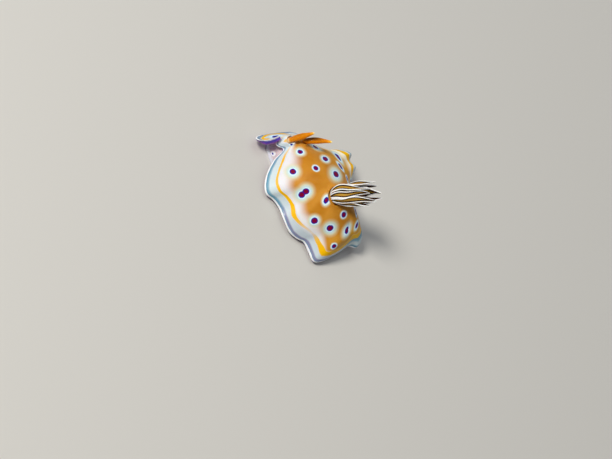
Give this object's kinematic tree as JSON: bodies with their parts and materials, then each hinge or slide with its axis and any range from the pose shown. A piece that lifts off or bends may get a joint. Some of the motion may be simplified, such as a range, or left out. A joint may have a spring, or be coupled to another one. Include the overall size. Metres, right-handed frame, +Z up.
{
  "type": "nudibranch",
  "caption": "Life-size still model of a crawling sea slug: domed back, ruffled mantle edge, ringed feelers, feathery gill tuft, and a flat sole that it rests on.",
  "frame": {"origin": "a point of the flat sole on the floor, under the middle of the body and 12 mm behind the front edge of the mantle", "axes": "+X from the tail to the head, +Y to the animal's left, +Z up from the floor"},
  "size_m": [0.0362, 0.0331, 0.025],
  "materials": {
    "back": "moist translucent skin, ochre with haloed purple spots",
    "hem": "moist translucent skin, white and lilac with a golden line",
    "foot": "moist translucent skin, pale pinkish white with purple spots",
    "head": "moist translucent skin, pale pinkish lilac",
    "rhinophore": "moist skin in fine leaves, orange with a pale tip",
    "gill": "moist leaflets, white edged with golden brown lines"
  },
  "bodies": {
    "root": {"back_front": "back", "back_middle": "back", "back_rear": "back", "hem_front": "hem", "hem_lobe": "hem", "hem_left_front": "hem", "hem_left_rear": "hem", "hem_tail": "hem", "hem_right_rear": "hem", "hem_right": "hem", "hem_right_front": "hem", "foot_front": "foot", "foot_middle": "foot", "tail": "foot", "head": "head", "oral_tentacle_left": "head", "oral_tentacle_right": "head", "rhinophore_left": "rhinophore", "rhinophore_right": "rhinophore", "gills_left": "gill", "gills_right": "gill", "anal_papilla": "back"}
  },
  "joints": []
}
